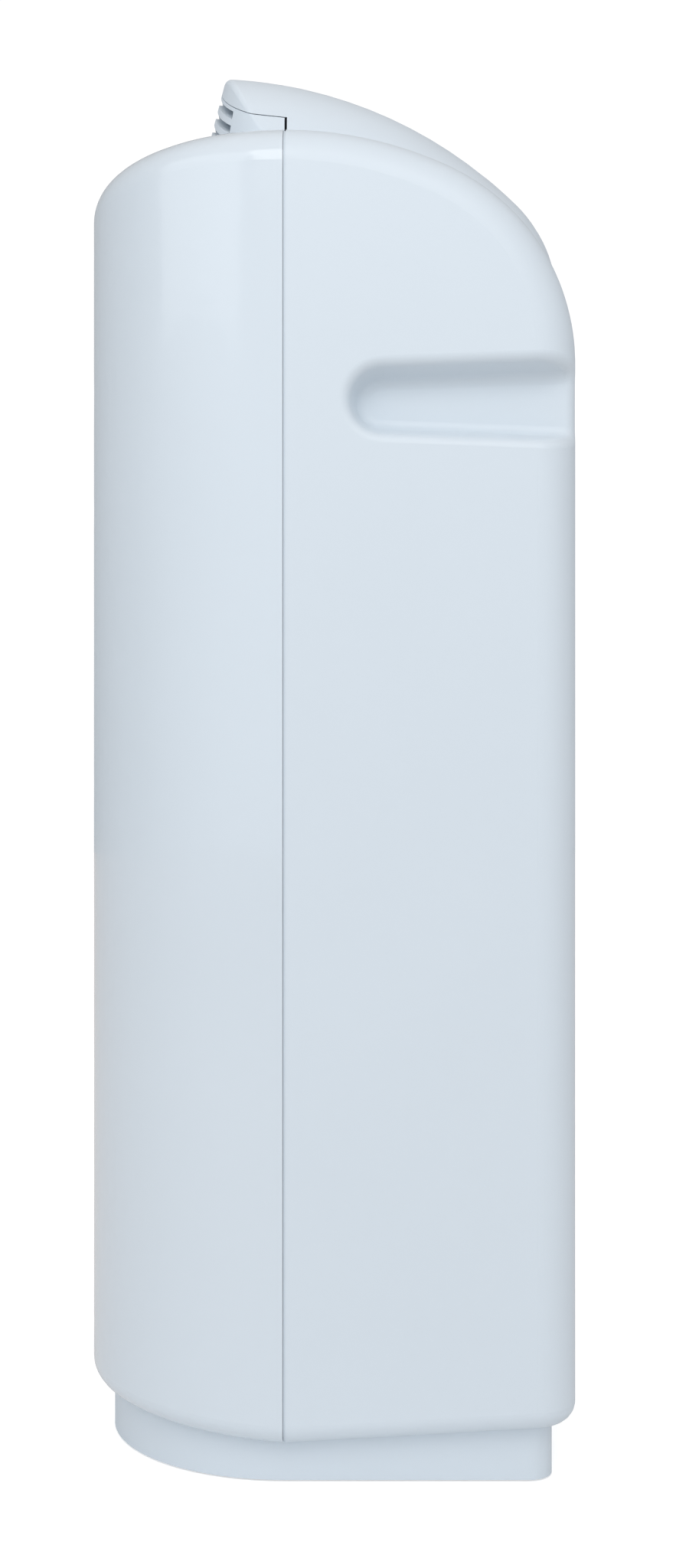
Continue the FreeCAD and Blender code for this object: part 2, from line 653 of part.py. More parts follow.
def axle(name, radius, length, start, x=0, z="fan_z"):
    """A cylinder along +Y from a bound start, on the fan's line unless x and z say otherwise."""
    return rod(name, radius, length, x, start, z, ALONG_Y)


gland_face = "body_depth / 2 - plinth_inset"
gland_start = f"{gland_face} - gland_long + collar_thick"
gland_body = axle("gland_body", "gland_radius", "gland_long", gland_start, 0, "gland_z")
gland_collar = axle("gland_collar", "gland_radius + collar_wide", "collar_thick", gland_face, 0, "gland_z")
nut_start = f"{gland_face} - skin - nut_thick"
gland_nut = axle("gland_nut", "gland_radius + collar_wide", "nut_thick", nut_start, 0, "gland_z")
gland_bore = axle("gland_bore", "cord_radius", "gland_long + 2", f"{gland_start} - 1", 0, "gland_z")
node(cut("gland", fuse("gland_blank", gland_body, gland_collar, gland_nut), gland_bore), "cord_gland")

# ---------------------------------------------------------------- inner frame and filter bay

inner_wall = "body_width / 2 - skin"
plate_back = "plate_y + plate_thick"
plate = ("plate_y", plate_back)
wings = box("wings", (f"-({inner_wall})", inner_wall), plate, ("wing_low", "pocket_z - wing_drop"))
tower_top = "fan_z + scroll_radius + duct_rise - duct_over"
tower = box("tower", ("-tower_half", "tower_half"), plate, ("pocket_z - 1.5 * wing_drop", tower_top))
bay_half, bay_low, bay_high = "(door_width / 2 - skin)", "(door_low + bay_step)", "(door_high - bay_step)"
bay_end = "body_depth / 2 - 3 * door_thick"
bay = box("bay", (f"-{bay_half}", bay_half), (plate_back, bay_end), (bay_low, bay_high))
bay_room = box("bay_room", (f"bay_wall - {bay_half}", f"{bay_half} - bay_wall"), (plate_back, f"{bay_end} + 1"),
               (f"{bay_low} + bay_wall", f"{bay_high} - bay_wall"))
ledge_front, ledge_back = "filter_y - plate_thick", "filter_y"
ledge = box("ledge", (f"-{bay_half}", bay_half), (ledge_front, ledge_back), (bay_low, bay_high))
ledge_x = (f"ledge_wide - {bay_half}", f"{bay_half} - ledge_wide")
ledge_z = (f"{bay_low} + ledge_wide", f"{bay_high} - ledge_wide")
ledge_room = box("ledge_room", ledge_x, (f"{ledge_front} - 1", f"{ledge_back} + 1"), ledge_z)
walls = cut("bay_walls", bay, bay_room)
shelf = cut("bay_ledge", ledge, ledge_room)
fan_hole = axle("fan_hole", "inlet_radius", "plate_thick + 2", "plate_y - 1")
ears_at = [(f"{x} * ear_reach", f"fan_z + {z} * ear_reach") for x, z in CORNERS]
ear_holes = [
    axle(f"ear_hole_{n}", "screw_radius + play / 2", "plate_thick + 2", "plate_y - 1", *at)
    for n, at in enumerate(ears_at)
]
frame_blank = fuse("frame_blank", wings, tower, walls, shelf)
node(cut("frame", frame_blank, fan_hole, *ear_holes), "inner_frame")
# ---------------------------------------------------------------- fan housing and motor

scroll_long = "(plate_y - scroll_front)"
duct_top = "fan_z + duct_rise + scroll_radius"
hollow_start = "scroll_front + scroll_wall"
drum = axle("drum", "scroll_radius", scroll_long, "scroll_front")
duct = box("duct", ("-duct_half", "duct_half"), ("scroll_front", "plate_y"), ("fan_z", duct_top))
ears = [
    axle(f"ear_{n}", "screw_head + ear_wall", "ear_long", "plate_y - ear_long", *at)
    for n, at in enumerate(ears_at)
]
drum_room = axle("drum_room", "scroll_radius - scroll_wall", scroll_long, hollow_start)
duct_room = box("duct_room", ("scroll_wall - duct_half", "duct_half - scroll_wall"), (hollow_start, "plate_y + 1"),
                ("fan_z", f"{duct_top} + 1"))
thread = "screw_radius + thread_play"
ear_bores = [
    axle(f"ear_bore_{n}", thread, "ear_long + 2", "plate_y - ear_long - 1", *at)
    for n, at in enumerate(ears_at)
]
nose_hole = axle("nose_hole", "bearing_radius + 4 * seam_gap", "3 * scroll_wall", "scroll_front - scroll_wall")
lugs_at = [(f"{x} * motor_reach", f"fan_z + {z} * motor_reach") for x, z in CORNERS]
motor_bores = [
    axle(f"motor_bore_{n}", thread, "3 * scroll_wall", "scroll_front - scroll_wall", *at)
    for n, at in enumerate(lugs_at)
]
scroll_blank = cut("scroll_shell", fuse("scroll_blank", drum, duct), drum_room, duct_room)
node(cut("scroll", fuse("scroll_eared", scroll_blank, *ears), *ear_bores, nose_hole, *motor_bores), "fan_scroll")


def screws(name, places, seat, length, back=True):
    """Pan-head screws along Y: seat is the plane their heads bear on, from behind or from the front."""
    made = []
    for n, at in enumerate(places):
        head_start, shank_start = (seat, f"{seat} - {length}") if back else (f"{seat} - head_high", seat)
        head = axle(f"{name}_head_{n}", "screw_head", "head_high", head_start, *at)
        made.append(fuse(f"{name}_{n}", head, axle(f"{name}_shank_{n}", "screw_radius", length, shank_start, *at)))
    return group(f"{name}_set", made)


node(screws("scroll_screw", ears_at, plate_back, "(plate_thick + ear_long - 2)"), "scroll_screws")

motor_front = "(scroll_front - motor_long)"
inner_front, inner_back = f"{motor_front} + can_wall", "scroll_front - can_wall - bearing_long"
can = axle("can", "motor_radius", "motor_long", motor_front)
lugs = [
    axle(f"lug_{n}", "screw_head + lug_wall", "lug_thick", "scroll_front - lug_thick", *at)
    for n, at in enumerate(lugs_at)
]
can_room = axle("can_room", "motor_radius - can_wall", "motor_long - 2 * can_wall", inner_front)
front_seat = axle("front_seat", "bearing_radius + seat_wall", "bearing_long + can_wall", motor_front)
back_seat = axle("back_seat", "bearing_radius + seat_wall", "bearing_long + can_wall", inner_back)
front_bore = axle("front_bore", "bearing_radius", "bearing_long", inner_front)
back_bore = axle("back_bore", "bearing_radius", "bearing_long", inner_back)
shaft_bore = axle("shaft_bore", "shaft_radius + lug_wall", "motor_long + 2", f"{motor_front} - 1")
lug_holes = [
    axle(f"lug_hole_{n}", "screw_radius + play / 2", "lug_thick + 2", "scroll_front - lug_thick - 1", *at)
    for n, at in enumerate(lugs_at)
]
hollow_can = cut("hollow_can", fuse("can_blank", can, *lugs), can_room)
seated_can = fuse("seated_can", hollow_can, front_seat, back_seat)
node(cut("motor_shell", seated_can, front_bore, back_bore, shaft_bore, *lug_holes), "motor_can")
lug_face = "(scroll_front - lug_thick)"
node(screws("motor_screw", lugs_at, lug_face, "(lug_thick + scroll_wall)", back=False), "motor_screws")
bearings = [
    cut(f"bearing_{n}", axle(f"bearing_ring_{n}", "bearing_radius", "bearing_long", start),
        axle(f"bearing_bore_{n}", "shaft_radius + shaft_play", "bearing_long", start))
    for n, start in enumerate((inner_front, inner_back))
]
node(group("bearing_pair", bearings), "motor_bearings")
core_start = f"{motor_front} + (motor_long - core_long) / 2"
stator = cut("stator", axle("stator_iron", "motor_radius - can_wall", "core_long", core_start),
             axle("stator_room", "rotor_radius + can_wall", "core_long", core_start))
node(stator, "motor_stator")
rotor = cut("rotor", axle("rotor_iron", "rotor_radius", "core_long", core_start),
            axle("rotor_room", "shaft_radius", "core_long", core_start))
node(rotor, "motor_rotor")
node(axle("shaft", "shaft_radius", "motor_long + shaft_reach", f"{motor_front} - 1"), "motor_shaft")

# ---------------------------------------------------------------- fan wheel


def origin_plane(body, role):
    return next(f for f in body.Origin.OriginFeatures if f.Role == role)


def sketch_at(body, name, y):
    """A sketch across the Y axis at a bound distance. Sketch x is X and sketch y is Z."""
    sketch = body.newObject("Sketcher::SketchObject", name)
    sketch.AttachmentSupport = [(origin_plane(body, "XZ_Plane"), "")]
    sketch.MapMode = "FlatFace"
    sketch.setExpression("AttachmentOffset.Base.z", formula(f"-({y})"))
    return sketch


def limit(sketch, kind, where, text, tag):
    """Ties a point's distance from the origin to the sheet. where is (geometry, point)."""
    place = sketch.addConstraint(Sketcher.Constraint(kind, -1, 1, where[0], where[1], 1.0))
    sketch.renameConstraint(place, tag)
    sketch.setExpression(f".Constraints.{tag}", formula(text))


def rectangle(sketch, tag, x, z):
    """A rectangle between bound limits: each of x and z is (low, high)."""
    first = sketch.GeometryCount
    corners = [Vector(-1, -1, 0), Vector(1, -1, 0), Vector(1, 1, 0), Vector(-1, 1, 0)]
    for a, b in zip(corners, corners[1:] + corners[:1]):
        sketch.addGeometry(Part.LineSegment(a, b), False)
    for n in range(4):
        sketch.addConstraint(Sketcher.Constraint("Coincident", first + n, 2, first + (n + 1) % 4, 1))
        sketch.addConstraint(Sketcher.Constraint("Vertical" if n % 2 else "Horizontal", first + n))
    limit(sketch, "DistanceX", (first, 1), x[0], f"{tag}_left")
    limit(sketch, "DistanceY", (first, 1), z[0], f"{tag}_bottom")
    limit(sketch, "DistanceX", (first + 2, 1), x[1], f"{tag}_right")
    limit(sketch, "DistanceY", (first + 2, 1), z[1], f"{tag}_top")


def ring(sketch, tag, radius):
    """A circle around the sketch's origin."""
    circle = sketch.addGeometry(Part.Circle(Vector(), Vector(0, 0, 1), 1.0), False)
    sketch.addConstraint(Sketcher.Constraint("Coincident", circle, 3, -1, 1))
    place = sketch.addConstraint(Sketcher.Constraint("Radius", circle, 1.0))
    sketch.renameConstraint(place, tag)
    sketch.setExpression(f".Constraints.{tag}", formula(radius))


def pad(body, name, sketch, length):
    """Pads a sketch towards -Y."""
    item = body.newObject("PartDesign::Pad", name)
    item.Profile = sketch
    bind(item, Length=length)
    body.Tip = item
    doc.recompute()
    return item


wheel = doc.addObject("PartDesign::Body", "wheel")
wheel_front, wheel_back = "(scroll_front + wheel_gap)", "(plate_y - wheel_gap - wheel_plate)"
back_sketch = sketch_at(wheel, "back_plate_lines", f"{wheel_front} + wheel_plate")
ring(back_sketch, "outer", "wheel_radius")
ring(back_sketch, "bore", "shaft_radius")
pad(wheel, "back_plate", back_sketch, "wheel_plate")
hub_sketch = sketch_at(wheel, "hub_lines", f"{wheel_front} + hub_long")
ring(hub_sketch, "outer", "shaft_radius + hub_wall")
ring(hub_sketch, "bore", "shaft_radius")
pad(wheel, "hub", hub_sketch, "hub_long")
blade_sketch = sketch_at(wheel, "blade_lines", wheel_back)
blade_half = "wheel_blade / 2"
blade_z = ("wheel_radius - blade_chord", "wheel_radius - play")
rectangle(blade_sketch, "blade", (f"-{blade_half}", blade_half), blade_z)
pad(wheel, "blade", blade_sketch, f"{wheel_back} - {wheel_front}")
blades = wheel.newObject("PartDesign::PolarPattern", "blades")
blades.Originals = [doc.getObject("blade")]
blades.Axis = (blade_sketch, ["N_Axis"])
blades.Angle = 360
bind(blades, Occurrences="wheel_blades")
wheel.Tip = blades
doc.recompute()
rim_sketch = sketch_at(wheel, "rim_lines", wheel_back)
ring(rim_sketch, "outer", "wheel_radius")
ring(rim_sketch, "bore", "wheel_radius - blade_chord + 1")
pad(wheel, "front_rim", rim_sketch, "wheel_plate")
place(wheel, 0, 0, "fan_z")
node(wheel, "fan_wheel")
# ---------------------------------------------------------------- lamp

lamp_top = "(fan_z - inlet_radius - lamp_gap - holder_thick - cap_long)"
lamp_low = f"({lamp_top} - lamp_long)"
lamp_outside = rod("lamp_outside", "lamp_radius", "lamp_long", 0, "lamp_y", lamp_low)
inside_low = f"{lamp_low} + glass_wall"
lamp_inside = rod("lamp_inside", "lamp_radius - glass_wall", "lamp_long - 2 * glass_wall", 0, "lamp_y", inside_low)
node(cut("lamp_glass", lamp_outside, lamp_inside), "uv_lamp")
node(group("lamp_cap_pair", [
    rod("lamp_cap_low", "lamp_radius + play", "cap_long", 0, "lamp_y", f"{lamp_low} - cap_long"),
    rod("lamp_cap_high", "lamp_radius + play", "cap_long", 0, "lamp_y", lamp_top),
]), "lamp_caps")
holder_reach = ("plate_y + plate_thick", "lamp_y + lamp_radius + holder_rim")
holder_wide = ("-lamp_radius - holder_rim", "lamp_radius + holder_rim")
holder_low, holder_high = f"{lamp_low} - cap_long", f"{lamp_top} + cap_long"
node(group("lamp_holder_pair", [
    box("holder_low", holder_wide, holder_reach, (f"{holder_low} - holder_thick", holder_low)),
    box("holder_high", holder_wide, holder_reach, (holder_high, f"{holder_high} + holder_thick")),
]), "lamp_holders")

# ---------------------------------------------------------------- power board

shelf_low, shelf_high = "(keel_z + keel_rise + supply_lift)", "(door_low - supply_drop)"
board_y = "plate_y + plate_thick + standoff"
supply_depth = (board_y, f"{board_y} + board_thick")
node(box("supply_board", ("-supply_half", "supply_half"), supply_depth, (shelf_low, shelf_high)), "power_board")
standoffs_at = [
    (f"{x} * (supply_half - post_inset)", f"{shelf_low} + post_inset" if z < 0 else f"{shelf_high} - post_inset")
    for x, z in CORNERS
]
node(group("standoff_set", [
    axle(f"standoff_{n}", "post_radius + seam_gap / 2", "standoff", "plate_y + plate_thick", *at)
    for n, at in enumerate(standoffs_at)
]), "board_standoffs")
face = f"{board_y} + board_thick"
coil = ("-supply_half + supply_edge", "-supply_half + supply_edge + coil_wide")
coil_low, relay_low = f"{shelf_low} + supply_edge", f"{shelf_low} + supply_edge"
node(group("supply_parts", [
    box("transformer", coil, (face, f"{face} + coil_high"), (coil_low, f"{coil_low} + coil_long")),
    box("relay", ("0", "relay_wide"), (face, f"{face} + relay_high"), (relay_low, f"{relay_low} + relay_long")),
    axle("capacitor_a", "can_a_radius", "can_a_long", face, "can_x", f"{shelf_low} + can_a_rise"),
    axle("capacitor_b", "can_b_radius", "can_b_long", face, "can_x / 2", f"{shelf_low} + can_b_rise"),
]), "power_parts")

# ---------------------------------------------------------------- rear door

door = doc.addObject("PartDesign::Body", "door")
door_lines = sketch_at(door, "door_lines", "body_depth / 2")
rectangle(door_lines, "sheet_edge", ("-door_width / 2", "door_width / 2"), ("door_low + play", "door_high - play"))
pad(door, "door_sheet", door_lines, "door_thick")
vent_lines = sketch_at(door, "vent_lines", "body_depth / 2")
vent_start = "(door_low + vent_border)"
vent_run = (vent_start, f"{vent_start} + vent_high")
for side, middle in (("left", "-vent_x"), ("right", "vent_x")):
    rectangle(vent_lines, side, (f"{middle} - vent_wide / 2", f"{middle} + vent_wide / 2"), vent_run)
vent = door.newObject("PartDesign::Pocket", "vent")
vent.Profile = vent_lines
vent.Reversed = True
bind(vent, Length="door_thick + 1")
door.Tip = vent
doc.recompute()
vents = door.newObject("PartDesign::LinearPattern", "vents")
vents.Originals = [vent]
vents.Direction = (vent_lines, ["V_Axis"])
bind(vents, Length="door_high - door_low - 2 * vent_border - vent_high", Occurrences="vent_rows")
door.Tip = vents
doc.recompute()
node(door, "rear_grille")

# ---------------------------------------------------------------- filter

room_half = "(door_width / 2 - skin - bay_wall - filter_play)"
room_low = "(door_low + bay_step + bay_wall + filter_play)"
room_high = "(door_high - bay_step - bay_wall - filter_play)"
filter_front, filter_back = "(filter_y + filter_gap)", "(filter_y + filter_gap + filter_deep)"
case_x, case_z = (f"-{room_half}", room_half), (room_low, room_high)
case = box("filter_case", case_x, (filter_front, filter_back), case_z)
open_x = (f"case_wall - {room_half}", f"{room_half} - case_wall")
open_z = (f"{room_low} + case_wall", f"{room_high} - case_wall")
case_room = box("filter_room", open_x, (f"{filter_front} - 1", f"{filter_back} + 1"), open_z)
node(cut("filter_box", case, case_room), "filter_frame")
node(box("foam", case_x, (filter_back, f"{filter_back} + foam_thick"), case_z), "prefilter")


def pleated():
    """The medium: one zigzag sheet folded across the width, as tall as its case lets it be."""
    margin = size("bay_wall") + size("filter_play") + size("case_wall")
    half = size("door_width") / 2 - skin - margin
    low, high = size("door_low") + margin + size("bay_step"), size("door_high") - margin - size("bay_step")
    front, back = size("filter_y") + 2 * size("filter_gap"), size("filter_y") + size("filter_deep")
    folds = 2 * int(size("pleats"))
    step = 2 * half / folds
    lean = size("medium_thick") / step
    lift = (back - front) * lean / (1 + lean)
    line = [Vector(n * step - half, back - lift if n % 2 else front, low) for n in range(folds + 1)]
    other = [p + Vector(0, lift, 0) for p in reversed(line)]
    outline = Part.makePolygon(line + other + line[:1])
    return Part.Face(outline).extrude(Vector(0, 0, high - low))


feature("filter_media", pleated())

# ---------------------------------------------------------------- controls

crown_axis = Vector(0, size("crown_y"), size("crown_z") - size("crown_radius"))
start, end = size("panel_start"), size("panel_end")
middle_angle = (start + end) / 2


def radial(angle, depth, x=0.0):
    """A point under the crown at an angle from vertical and a depth below the spine."""
    reach, turn = size("crown_radius") - depth, math.radians(angle)
    return Vector(x, crown_axis.y + reach * math.sin(turn), crown_axis.z + reach * math.cos(turn))


def outward(angle):
    turn = math.radians(angle)
    return Vector(0, math.sin(turn), math.cos(turn))


def peg(radius, angle, low, high, x=0.0):
    """A cylinder along the crown's normal, between two depths below the spine."""
    return Part.makeCylinder(radius, low - high, radial(angle, low, x), outward(angle))


sink, thick = size("panel_sink"), size("panel_thick")
under = sink + thick
flange = crown_slice(skin, under, (-panel_half - size("flange_wide"), panel_half + size("flange_wide")),
                     start - 1, end + 1)
plate = crown_slice(sink, under, (-panel_half, panel_half), start, end).fuse(flange)
button_angles = [middle_angle + (n - 1.5) * size("button_step") for n in range(4)]
lamp_x = size("button_radius") + size("led_gap")
holes = [peg(size("button_radius") + size("button_play"), a, 4 * skin, -1) for a in button_angles]
led_holes = [peg(size("led_radius"), a, 4 * skin, -1, lamp_x) for a in button_angles]
board_half, board_arc = panel_half - size("board_inset"), size("board_arc")
normal = outward(middle_angle)
along = Vector(0, math.cos(math.radians(middle_angle)), -math.sin(math.radians(middle_angle)))
board_thick, board_low = size("board_thick"), size("board_depth")


def on_board(x, run, lift=0.0):
    """A point over the board's upper face: across, along the crown, and up from the face."""
    return radial(middle_angle, board_low, x) + along * run + normal * lift


def on_board_block(x, run, wide, long, low, high):
    """A block that stands on the board, centred at (x, run)."""
    block = Part.makeBox(wide, long, high - low, Vector(-wide / 2, -long / 2, low))
    block.Placement = FreeCAD.Placement(on_board(x, run), Rotation(Vector(1, 0, 0), -middle_angle))
    return block


post_in = size("post_inset")
post_x, post_run = board_half - post_in, board_arc / 2 - post_in
posts = [
    Part.makeCylinder(size("post_radius"), board_low, on_board(x * post_x, run * post_run), normal)
    for x, run in CORNERS
]
posts = all_of(posts).common(spine_form(sink + thick / 2))
window_arc = size("window_arc") / 2
window_x = (size("window_edge") - panel_half, -size("button_radius") - size("window_edge"))
window = crown_slice(-1, under - 1, window_x, middle_angle - window_arc, middle_angle + window_arc)
panel = plate.cut(all_of(holes)).cut(all_of(led_holes)).fuse(posts).cut(window)
feature("control_panel", panel.removeSplitter())
feature("display_window", window.common(spine_form(sink)))
led_low, led_high = under + size("led_play"), sink - size("led_proud")
leds = [peg(size("led_radius"), a, led_low, led_high, lamp_x) for a in button_angles]
feature("indicator_leds", Part.makeCompound(leds))
feature("control_board", on_board_block(0, 0, 2 * board_half, board_arc, -board_thick, 0))
stem_low, stem_radius = size("stem_depth"), size("stem_radius")
switch_top = size("crown_radius") - stem_low - size("button_travel") - play
switch_wide = size("switch_wide")
switch_set = []
for angle in button_angles:
    spread = math.radians(angle - middle_angle)
    reach = switch_top * math.cos(spread) - (size("crown_radius") - board_low)
    run = (size("crown_radius") - stem_low) * math.sin(spread)
    body = on_board_block(0, run, switch_wide, switch_wide, 0, reach - stem_radius)
    plunger = Part.makeCylinder(stem_radius, stem_radius, on_board(0, run, reach - stem_radius), normal)
    switch_set.append(body.fuse(plunger))
feature("switches", Part.makeCompound(switch_set))
collar_top, collar_thick = under + play, size("collar_lip")
for label, angle in zip(("power_button", "speed_button", "timer_button", "lamp_button"), button_angles):
    button_cap = peg(size("button_radius"), angle, collar_top + collar_thick, size("button_sink"))
    collar = peg(size("button_radius") + collar_thick, angle, collar_top + collar_thick, collar_top)
    stem = peg(stem_radius, angle, stem_low, collar_top + collar_thick)
    feature(label, button_cap.fuse([collar, stem]).removeSplitter())

# ---------------------------------------------------------------- export

doc.recompute()
for item in doc.Objects:
    if "Invalid" in item.State or "Error" in item.State:
        raise RuntimeError(f"{item.Name} did not build: {item.State}")
os.makedirs("parts", exist_ok=True)
for item in nodes:
    if item.Shape.isNull() or not item.Shape.isValid():
        raise RuntimeError(f"{item.Label} has no valid shape")
    item.Shape.exportStep(f"parts/{item.Label}.step")
    print(item.Label, len(item.Shape.Solids), round(item.Shape.Volume))
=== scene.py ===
import json
import math

import bmesh
import bpy
from bpy.props import FloatProperty, FloatVectorProperty, PointerProperty, StringProperty
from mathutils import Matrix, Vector


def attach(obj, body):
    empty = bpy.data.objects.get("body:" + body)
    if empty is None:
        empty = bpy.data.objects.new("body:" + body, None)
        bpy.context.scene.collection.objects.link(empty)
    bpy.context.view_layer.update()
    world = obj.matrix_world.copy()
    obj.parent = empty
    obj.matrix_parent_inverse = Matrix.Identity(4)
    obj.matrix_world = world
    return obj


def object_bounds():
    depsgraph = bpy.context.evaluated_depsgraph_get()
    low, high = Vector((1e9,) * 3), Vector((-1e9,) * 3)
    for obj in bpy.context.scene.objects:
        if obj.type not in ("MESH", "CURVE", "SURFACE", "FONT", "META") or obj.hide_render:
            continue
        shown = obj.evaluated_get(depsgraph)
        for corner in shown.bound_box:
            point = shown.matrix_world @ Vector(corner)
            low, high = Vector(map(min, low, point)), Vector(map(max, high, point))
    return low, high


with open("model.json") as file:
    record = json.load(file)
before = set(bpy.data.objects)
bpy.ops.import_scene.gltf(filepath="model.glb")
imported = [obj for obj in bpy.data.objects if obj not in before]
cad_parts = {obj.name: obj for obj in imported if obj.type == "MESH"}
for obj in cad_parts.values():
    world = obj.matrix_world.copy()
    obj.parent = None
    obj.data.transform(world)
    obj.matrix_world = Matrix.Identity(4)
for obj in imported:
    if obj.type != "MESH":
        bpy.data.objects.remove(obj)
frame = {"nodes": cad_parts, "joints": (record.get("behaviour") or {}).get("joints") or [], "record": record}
NODES = frame["nodes"]
CAD_LOW, CAD_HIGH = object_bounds()
MIDDLE = (CAD_LOW + CAD_HIGH) / 2

bl_info = {
    "name": "Tower air purifier",
    "version": (1, 0, 0),
    "blender": (4, 5, 0),
    "location": "View3D > Sidebar > Purifier",
    "description": "Finishes and small pieces of a tower air purifier around its packed frame",
    "category": "Object",
}


# ---------------------------------------------------------------- colour and node helpers


def linear(hex_colour):
    """An sRGB hex colour as linear red, green, blue and alpha."""
    channels = [int(hex_colour[n:n + 2], 16) / 255 for n in (1, 3, 5)]
    return tuple(c / 12.92 if c <= 0.04045 else ((c + 0.055) / 1.055) ** 2.4 for c in channels) + (1.0,)


def per_mm(spacing):
    """A texture's scale from the spacing of its pattern in millimetres."""
    return 1000 / spacing


def add_node(tree, kind, sockets=None, links=None, **properties):
    """Adds a node, sets its properties and sockets, and links what feeds it."""
    made = tree.nodes.new(kind)
    for name, value in properties.items():
        setattr(made, name, value)
    for name, value in (sockets or {}).items():
        made.inputs[name].default_value = value
    for name, source in (links or {}).items():
        tree.links.new(source, made.inputs[name])
    return made


def blank(name):
    """An empty material, its node tree, and coordinates in metres for its patterns."""
    material = bpy.data.materials.new(name)
    material.use_nodes = True
    tree = material.node_tree
    tree.nodes.clear()
    return material, tree, add_node(tree, "ShaderNodeTexCoord").outputs["Object"]


def spread(tree, value, low, high, start=0.3, end=0.7):
    """A pattern's value, moved into a range."""
    limits = {"From Min": start, "From Max": end, "To Min": low, "To Max": high}
    return add_node(tree, "ShaderNodeMapRange", limits, {"Value": value}).outputs["Result"]


def blend_colours(tree, factor, first, second):
    """A colour between two, by a pattern."""
    mix = add_node(tree, "ShaderNodeMix", links={"Factor": factor}, data_type="RGBA")
    mix.inputs["A"].default_value = first
    mix.inputs["B"].default_value = second
    return mix.outputs["Result"]


def darker(colour, share):
    """A linear colour, made darker by a share of itself."""
    return tuple(c * (1 - share) for c in colour[:3]) + (1.0,)


def relief(tree, height, depth_mm):
    """A bump of a real depth."""
    bump = add_node(tree, "ShaderNodeBump", {"Distance": depth_mm / 1000}, {"Height": height})
    return bump.outputs["Normal"]


def surface(tree, sockets, links):
    """Ends a material in a Principled surface with constant and linked sockets."""
    shader = add_node(tree, "ShaderNodeBsdfPrincipled", sockets, links)
    add_node(tree, "ShaderNodeOutputMaterial", links={"Surface": shader.outputs["BSDF"]})


# ---------------------------------------------------------------- materials

FLOW_MARK_MM = 90  # how far apart the faint clouds of a moulding lie


def moulded(name, colour, rough, texture_mm, relief_mm, ior=1.53, drift=0.02, coat=0.0):
    """An injection-moulded plastic: an even colour with a slow drift, and the texture of its tool."""
    material, tree, where = blank(name)
    cloud = add_node(tree, "ShaderNodeTexNoise", {"Scale": per_mm(FLOW_MARK_MM), "Detail": 2.0},
                     {"Vector": where}).outputs["Fac"]
    grain = add_node(tree, "ShaderNodeTexNoise", {"Scale": per_mm(texture_mm), "Detail": 2.0},
                     {"Vector": where})
    base = linear(colour)
    shade = darker(base, drift)
    surface(tree, {"IOR": ior, "Coat Weight": coat, "Coat Roughness": 0.02}, {
        "Base Color": blend_colours(tree, cloud, shade, base),
        "Roughness": spread(tree, cloud, rough * 0.9, rough * 1.1),
        "Normal": relief(tree, grain.outputs["Fac"], relief_mm),
    })
    return material


def metal(name, colour, rough, stretch, line_mm, relief_mm):
    """A metal with lines, which run longer along an axis by its stretch. All three at 1 make a mottle."""
    material, tree, where = blank(name)
    along = add_node(tree, "ShaderNodeMapping", {"Scale": [1 / s for s in stretch]}, {"Vector": where})
    lines = add_node(tree, "ShaderNodeTexNoise", {"Scale": per_mm(line_mm), "Detail": 2.0},
                     {"Vector": along.outputs["Vector"]}).outputs["Fac"]
    base = linear(colour)
    shade = darker(base, 0.2)
    surface(tree, {"Metallic": 1.0}, {
        "Base Color": blend_colours(tree, lines, shade, base),
        "Roughness": spread(tree, lines, rough * 0.8, rough * 1.2),
        "Normal": relief(tree, lines, relief_mm),
    })
    return material


def foam(name, colour, cell_mm):
    """Open-cell polyurethane foam with carbon dust: a dull web whose round cells are painted dark, as painted
    shade in the pores.
    """
    material, tree, where = blank(name)
    cells = add_node(tree, "ShaderNodeTexVoronoi", {"Scale": per_mm(cell_mm)},
                     {"Vector": where}).outputs["Distance"]
    web = spread(tree, cells, 0.0, 1.0, 0.1, 0.55)
    base = linear(colour)
    # painted shade: each cell darker towards its middle, standing in for the shade inside the pore
    painted_pore_shade = darker(base, 0.8)
    surface(tree, {"Roughness": 0.9, "Specular IOR Level": 0.2}, {
        "Base Color": blend_colours(tree, web, painted_pore_shade, base),
        "Normal": relief(tree, web, 0.8),
    })
    return material


def fleece(name, colour, fibre_mm):
    """Melt-blown fleece: matted fibres, soft at grazing angles."""
    material, tree, where = blank(name)
    long_fibres = add_node(tree, "ShaderNodeMapping", {"Scale": (1.0, 1.0, 0.2)}, {"Vector": where})
    mat = add_node(tree, "ShaderNodeTexNoise", {"Scale": per_mm(fibre_mm), "Detail": 5.0},
                   {"Vector": long_fibres.outputs["Vector"]}).outputs["Fac"]
    base = linear(colour)
    shade = darker(base, 0.15)
    surface(tree, {"Roughness": 0.95, "Sheen Weight": 0.3, "Sheen Roughness": 0.5}, {
        "Base Color": blend_colours(tree, mat, shade, base),
        "Normal": relief(tree, mat, 0.15),
    })
    return material


def card(name, colour, fibre_mm):
    """Pressed pulp board: short fibres and a chalky surface."""
    material, tree, where = blank(name)
    pulp = add_node(tree, "ShaderNodeTexNoise", {"Scale": per_mm(fibre_mm), "Detail": 6.0, "Distortion": 1.5},
                    {"Vector": where}).outputs["Fac"]
    base = linear(colour)
    shade = darker(base, 0.12)
    surface(tree, {"Roughness": 0.85}, {
        "Base Color": blend_colours(tree, pulp, shade, base),
        "Normal": relief(tree, pulp, 0.06),
    })
    return material


def circuit_board(name, mask, track):
    """Glass-epoxy board: tracks that show paler through a glossy solder mask."""
    material, tree, where = blank(name)
    tracks = add_node(tree, "ShaderNodeTexBrick", {"Scale": per_mm(12), "Mortar Size": 0.06},
                      {"Vector": where})
    surface(tree, {"Roughness": 0.25, "IOR": 1.55}, {
        "Base Color": blend_colours(tree, tracks.outputs["Fac"], linear(mask), linear(track)),
        "Normal": relief(tree, tracks.outputs["Fac"], 0.05),
    })
    return material


